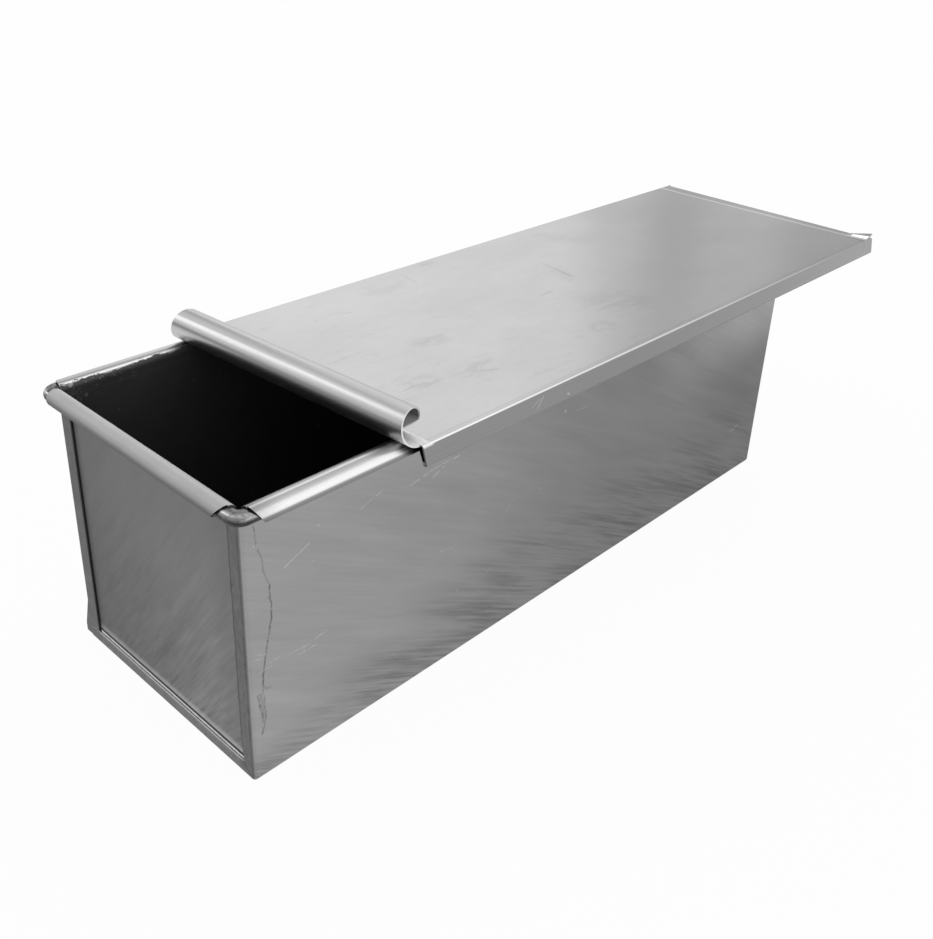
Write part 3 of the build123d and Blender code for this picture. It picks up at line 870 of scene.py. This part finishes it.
def lid_top_tone(m, cloud, fine):
    """Flat top, with painted light that is lighter at the near end, clouds, wisps, smudges, and
    wrinkles darkened with painted shade.
    """
    g = m.g
    # Painted light, lighter at the near end
    top = g.mul(g.line(m.x, *LID_PAINTED_LIGHT_X), g.spread(cloud, *LID_CLOUD_TONE))
    wisps = g.noise(g.turned(m.place, "Z", LID_WISP_TURN_DEG), *LID_WISPS)
    wispy = g.mul(g.ramp(wisps, *WISP_SPAN), g.ramp(cloud, *WISP_CLOUD_SPAN))
    top = g.dim(top, g.mul(wispy, g.ramp(m.x, *WISP_X)), WISP_SHARE)
    top = g.dim(top, g.mul(g.ramp(fine, *WORN_SPAN), g.ramp(m.x, *WORN_X)), WORN_SHARE)
    up = g.ramp(m.nz, *MARKS_FACING_UP)
    smudge = g.mul(g.strokes(m.place, LID_SMUDGES, ACROSS_Z, LID_TOP), up)
    wrinkle = g.mul(g.strokes(m.place, LID_WRINKLES, ACROSS_Z, LID_TOP), up)
    smear = g.blend(SMEAR_MIX, fine, wisps)
    top = g.dim(top, smudge, g.ramp(smear, *SMEAR_SHARE))
    # Painted shade in the wrinkles
    return g.dim(top, wrinkle, WRINKLE_SHADE_SHARE)


def flange_tone(m):
    """Side flanges, rubbed lengthwise, with the near one's scratches."""
    g = m.g
    side = g.curve(m.x, FLANGE_TONES)
    side = g.mul(side, g.spread(g.noise(m.place, *FLANGE_RUB), *FLANGE_RUB_TONE))
    near = g.ramp(m.ny, *FACING_NEAR)
    scratch = g.mul(g.strokes(m.place, FLANGE_SCRATCHES, ACROSS_Y, FLANGE_Y), near)
    return g.lift(side, scratch, FLANGE_SCRATCH_TONE)


def grip_tone(m, inside):
    """Rolled grip, rubbed along its axis, with painted highlight and shade outside and painted shade
    on the dull inside.
    """
    g = m.g
    lines = g.noise(g.turned(m.place, "Z", -CURL_SKEW_DEG), *GRIP_LINES)
    # Painted highlight and shade by the normal, darker where the grip faces back
    grip = g.mul(g.curve(m.nz, GRIP_PAINTED_LIGHT), g.spread(lines, *GRIP_LINE_TONE))
    grip = g.mul(grip, g.ramp(m.nx, *GRIP_BACKWARD_SHADE))
    # Painted shade inside the hollow, darker higher up
    return g.blend(inside, grip, g.line(m.z, *HOLLOW_SHADE_Z))


def lid_steel():
    """Lid: soft smudges on top, duller flanges, a rubbed grip with bright cut edges."""
    m = Metal("lid_steel")
    g = m.g
    cloud = g.noise(m.place, *LID_CLOUDS)
    fine = g.noise(m.place, *LID_FINE)
    sideways = g.absolute(m.ny)
    top = lid_top_tone(m, cloud, fine)

    # Far lip's crease and its turned-up corner, both with a painted highlight
    crease = g.band(g.sub(m.x, g.line(m.y, *LIP_CREASE_X)), *LIP_CREASE_BAND)
    top = g.lift(top, crease, LIP_CREASE_HIGHLIGHT)
    flared = g.mul(g.band(m.x, *LIP_FLARE_BAND), g.ramp(m.y, *LIP_FLARE_Y))
    top = g.blend(flared, top, LIP_FLARE_HIGHLIGHT)

    # Flanges, with painted shade inside the fold, a painted highlight on it and a painted shadow on
    # the lower fold
    inner_line = g.band(g.sub(m.y, FLANGE_Y), *INNER_LINE_BAND)
    inner_line = g.mul(inner_line, g.ramp(m.nz, *INNER_LINE_FACING_UP))
    top = g.dim(top, inner_line, INNER_LINE_SHADE)
    tone = g.blend(g.ramp(m.nz, *FLANGE_TO_TOP), flange_tone(m), top)
    folded = g.mul(g.band(m.nz, *FOLD_UPWARD_BAND), g.ramp(sideways, *FOLD_SIDEWAYS))
    folded = g.mul(folded, g.ramp(m.z, *FOLD_Z))
    tone = g.blend(folded, tone, g.line(m.x, *FOLD_HIGHLIGHT_X))
    # Painted shadow along the flange's lower fold
    lower_fold = g.mul(g.ramp(m.nz, *LOWER_FOLD_DOWNWARD), g.ramp(m.x, *LOWER_FOLD_X))
    tone = g.blend(g.mul(lower_fold, g.ramp(m.z, *LOWER_FOLD_Z)), tone, LOWER_FOLD_SHADOW)
    tone = g.blend(g.ramp(m.nz, *UNDERSIDE_DOWNWARD), tone, UNDERSIDE_TONE)

    # Grip, with painted light on the sheet at its foot, and its cut edges
    front = g.lift(m.x, m.y, CURL_SLOPE)
    hollow = g.size_of(g.sub(front, CURL_FRONT), g.sub(m.z, CURL_Z))
    inside = g.ramp(hollow, *HOLLOW_RADIUS)
    on_grip = g.either(g.ramp(front, *GRIP_FRONT_X), g.ramp(m.z, *GRIP_LOW_Z))
    on_grip = g.mul(on_grip, g.ramp(m.x, *GRIP_END_X))
    tone = g.blend(on_grip, tone, grip_tone(m, inside))
    foot = g.mul(g.ramp(front, *GRIP_FOOT_FRONT), g.ramp(m.nz, *GRIP_FOOT_FACING_UP))
    foot = g.product(foot, g.ramp(m.z, *GRIP_FOOT_Z), g.ramp(m.y, *GRIP_FOOT_Y))
    tone = g.blend(foot, tone, GRIP_FOOT_PAINTED_LIGHT)
    cut = g.product(g.ramp(sideways, *CUT_SIDEWAYS), g.ramp(m.x, *CUT_X), g.ramp(m.z, *CUT_Z))
    tone = g.blend(cut, tone, CUT_TONE)

    height = g.mul(g.noise(m.place, *LID_WAVE), LID_WAVE_HEIGHT)
    height = g.lift(height, fine, LID_FINE_HEIGHT)
    height = g.lift(height, crease, LIP_CREASE_HEIGHT)
    rough = g.blend(on_grip, g.spread(cloud, *LID_ROUGH), GRIP_ROUGH)
    return m.finish(*m.grained(tone, rough), height, g.either(foot, g.mul(inside, on_grip)))


def paint(node, material):
    """Gives a CAD node one material, and the sheet's cut edges a small rounding."""
    data = nodes[node].data
    data.materials.clear()
    data.materials.append(material)
    rounding = nodes[node].modifiers.new("edge_rounding", "BEVEL")
    rounding.width = ROUNDING_MM * MM
    rounding.segments = ROUNDING_SEGMENTS
    rounding.limit_method = "ANGLE"
    rounding.angle_limit = math.radians(ROUNDING_ANGLE_DEG)
    rounding.harden_normals = True


def seen_directly(g):
    """1 for rays from the camera, and for those that metal or glass sends on."""
    rays = g.node("ShaderNodeLightPath")
    seen = g.either(rays.outputs["Is Camera Ray"], rays.outputs["Is Glossy Ray"])
    return g.either(seen, rays.outputs["Is Transmission Ray"])


def make_floor():
    """Pale floor that keeps the pan's soft shadow."""
    material = bpy.data.materials.new("floor_paper")
    material.use_nodes = True
    tree = material.node_tree
    tree.nodes.clear()
    g = Graph(tree)
    matt = g.node("ShaderNodeBsdfDiffuse", {"Color": FLOOR_GREY})
    white = g.node("ShaderNodeEmission", {"Color": WHITE, "Strength": WHITE_STRENGTH})
    share = g.mul(seen_directly(g), FLOOR_WHITE_SHARE)
    mix = g.node("ShaderNodeMixShader", {0: share, 1: matt.outputs[0], 2: white.outputs[0]})
    output = g.node("ShaderNodeOutputMaterial")
    tree.links.new(mix.outputs[0], output.inputs[0])
    half = FLOOR_HALF_M
    corners = [(-half, -half, 0), (half, -half, 0), (half, half, 0), (-half, half, 0)]
    data = bpy.data.meshes.new("floor")
    data.from_pydata(corners, [], [(0, 1, 2, 3)])
    floor = bpy.data.objects.new("floor", data)
    data.materials.append(material)
    bpy.context.scene.collection.objects.link(floor)


def make_world():
    """Soft even studio light, white where it is seen."""
    world = bpy.data.worlds.new("studio")
    world.use_nodes = True
    tree = world.node_tree
    tree.nodes.clear()
    g = Graph(tree)
    soft = g.node("ShaderNodeBackground", {"Color": WHITE, "Strength": SOFT_STRENGTH})
    white = g.node("ShaderNodeBackground", {"Color": WHITE, "Strength": WHITE_STRENGTH})
    inputs = {0: seen_directly(g), 1: soft.outputs[0], 2: white.outputs[0]}
    mix = g.node("ShaderNodeMixShader", inputs)
    output = g.node("ShaderNodeOutputWorld")
    tree.links.new(mix.outputs[0], output.inputs[0])
    bpy.context.scene.world = world


def add_lamp(name, azimuth, elevation, wide, high, radiance):
    """Soft box seen from the camera's foot at these angles, wide and high in degrees."""
    width = 2 * LAMP_DISTANCE_M * math.tan(math.radians(wide / 2))
    height = 2 * LAMP_DISTANCE_M * math.tan(math.radians(high / 2))
    data = bpy.data.lights.new(name, "AREA")
    data.shape = "RECTANGLE"
    data.size = width
    data.size_y = height
    data.energy = radiance * math.pi * width * height
    lamp = bpy.data.objects.new(name, data)
    turn = math.radians(azimuth)
    rise = math.radians(elevation)
    out = Vector((math.cos(turn) * math.cos(rise), math.sin(turn) * math.cos(rise), math.sin(rise)))
    foot = camera_centre() * MM
    foot.z = LID_TOP * MM
    lamp.location = foot + out * LAMP_DISTANCE_M
    lamp.rotation_mode = "QUATERNION"
    lamp.rotation_quaternion = out.to_track_quat("Z", "Y")
    bpy.context.scene.collection.objects.link(lamp)


make_camera()
make_world()
make_floor()
for lamp_values in LAMPS:
    add_lamp(*lamp_values)

paint("pan_trough", trough_steel())
paint("near_end_plate", plate_steel("near_plate_steel", 1.0))
paint("far_end_plate", plate_steel("far_plate_steel", -1.0))
paint("rim_wire", wire_steel())
paint("lid", lid_steel())

bpy.context.scene.view_settings.view_transform = "Standard"
